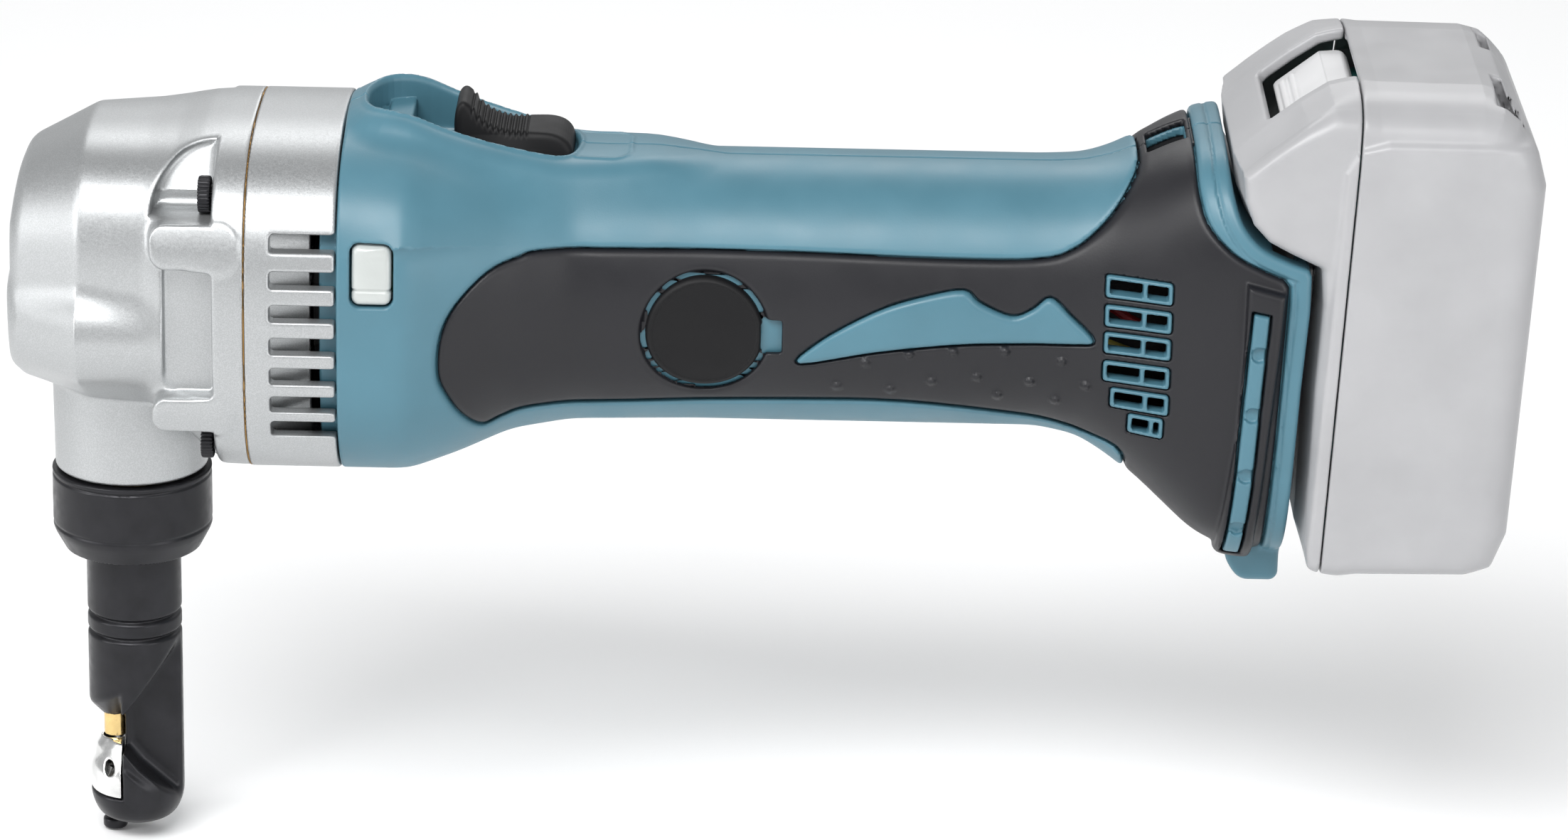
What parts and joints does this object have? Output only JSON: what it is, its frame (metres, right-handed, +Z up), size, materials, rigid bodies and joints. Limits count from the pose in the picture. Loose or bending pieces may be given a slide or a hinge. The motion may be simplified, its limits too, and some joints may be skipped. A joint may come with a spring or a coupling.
{
  "type": "cordless nibbler",
  "caption": "Cordless nibbler for cutting sheet metal: slim inline handle with slide switch, right-angle gear head with a turning die holder and punch, slide-on battery.",
  "frame": {"origin": "centre of the bounding box seen from above, level with the underside of the die bolt", "axes": "+X from the gear head to the battery, +Z up along the die holder, Y across the tool"},
  "size_m": [0.313, 0.08, 0.18],
  "materials": {
    "cast_aluminium": "silver paint over a sand-cast surface, satin",
    "housing_plastic": "blue-green glass-filled nylon, fine spark texture",
    "soft_grip": "black soft elastomer moulded over the housing",
    "switch_plastic": "black plastic, satin",
    "black_oxide_steel": "black oxide steel, oiled",
    "tool_steel": "ground tool steel",
    "coated_punch": "gold-coloured coating on tool steel",
    "bearing_steel": "ground steel",
    "motor_steel": "zinc-plated steel",
    "copper": "laminated core and copper segments, shown in one colour",
    "sintered_bronze": "oil-filled sintered bronze",
    "carbon": "carbon brush block",
    "lens_plastic": "frosted white lens",
    "inner_plastic": "black moulded plastic",
    "circuit_board": "green circuit board",
    "pack_plastic": "pale grey plastic, as the faded pack is shown",
    "release_plastic": "off-white plastic",
    "cell_wrap": "shrink wrap over cells",
    "yellow_lead": "yellow lead insulation",
    "red_lead": "red lead insulation"
  },
  "bodies": {
    "tool_body": {"gear_housing": "cast_aluminium", "gear_housing_cover": "cast_aluminium", "head_screw_1": "black_oxide_steel", "head_screw_2": "black_oxide_steel", "head_screw_3": "black_oxide_steel", "head_screw_4": "black_oxide_steel", "crank_front_bearing": "bearing_steel", "crank_rear_bearing": "bearing_steel", "thrust_ring": "bearing_steel", "armature_front_bearing": "bearing_steel", "armature_rear_bearing": "bearing_steel", "ram_bush": "sintered_bronze", "motor_can": "motor_steel", "brush_holder": "inner_plastic", "carbon_brush_left": "carbon", "carbon_brush_right": "carbon", "brush_cap_left": "inner_plastic", "brush_cap_right": "inner_plastic", "housing_left": "housing_plastic", "housing_right": "housing_plastic", "grip_left": "soft_grip", "grip_right": "soft_grip", "brush_cover_left": "switch_plastic", "brush_cover_right": "switch_plastic", "lamp_lens_left": "lens_plastic", "lamp_lens_right": "lens_plastic", "housing_screw_1": "bearing_steel", "housing_screw_2": "bearing_steel", "housing_screw_3": "bearing_steel", "housing_screw_4": "bearing_steel", "housing_screw_5": "bearing_steel", "power_switch": "inner_plastic", "control_board": "circuit_board", "lamp_board": "circuit_board", "terminal_block": "inner_plastic", "yellow_lead": "yellow_lead", "red_lead": "red_lead"},
    "crank": {"crankshaft": "bearing_steel", "drive_gear": "motor_steel", "crank_roller": "bearing_steel"},
    "armature": {"armature_shaft": "bearing_steel", "rotor_core": "copper", "commutator": "copper", "cooling_fan": "inner_plastic"},
    "ram": {"ram": "bearing_steel"},
    "lock_nut": {"lock_nut": "black_oxide_steel"},
    "die_holder": {"die_holder": "black_oxide_steel", "die": "tool_steel", "die_bolt": "black_oxide_steel"},
    "punch": {"punch": "coated_punch"},
    "switch": {"switch_knob": "switch_plastic", "switch_slide": "inner_plastic"},
    "battery": {"battery_upper_case": "pack_plastic", "battery_lower_case": "pack_plastic", "cell_pack": "cell_wrap", "battery_board": "circuit_board"},
    "battery_button": {"battery_button": "release_plastic"}
  },
  "joints": [
    {"name": "crank_spin", "type": "hinge", "parent": "tool_body", "child": "crank", "pos_m": [-0.118, 0, 0.1414], "axis": [1, 0, 0], "continuous": true},
    {"name": "armature_spin", "type": "hinge", "parent": "tool_body", "child": "armature", "pos_m": [-0.05, 0, 0.1264], "axis": [1, 0, 0], "continuous": true},
    {"name": "ram_stroke", "type": "slide", "parent": "tool_body", "child": "ram", "axis": [0, 0, -1], "range_m": [-0.0016, 0.0034]},
    {"name": "lock_nut_turn", "type": "hinge", "parent": "tool_body", "child": "lock_nut", "pos_m": [-0.1342, 0, 0.075], "axis": [0, 0, -1], "continuous": true},
    {"name": "die_holder_turn", "type": "hinge", "parent": "tool_body", "child": "die_holder", "pos_m": [-0.1342, 0, 0.05], "axis": [0, 0, 1], "continuous": true},
    {"name": "punch_stroke", "type": "slide", "parent": "die_holder", "child": "punch", "axis": [0, 0, -1], "range_m": [-0.0016, 0.0034]},
    {"name": "switch_slide", "type": "slide", "parent": "tool_body", "child": "switch", "axis": [-1, 0, 0], "range_m": [0, 0.008]},
    {"name": "battery_removal", "type": "slide", "parent": "tool_body", "child": "battery", "axis": [0.0436, 0, 0.999], "range_m": [0, 0.11]},
    {"name": "battery_release", "type": "slide", "parent": "battery", "child": "battery_button", "axis": [0.788, 0, 0.6157], "range_m": [0, 0.004], "stiffness_N_per_m": 600, "springref_m": -0.001}
  ],
  "couplings": [
    {"joint": "armature_spin", "follows": "crank_spin", "ratio": -4},
    {"joint": "punch_stroke", "follows": "ram_stroke", "ratio": 1}
  ]
}
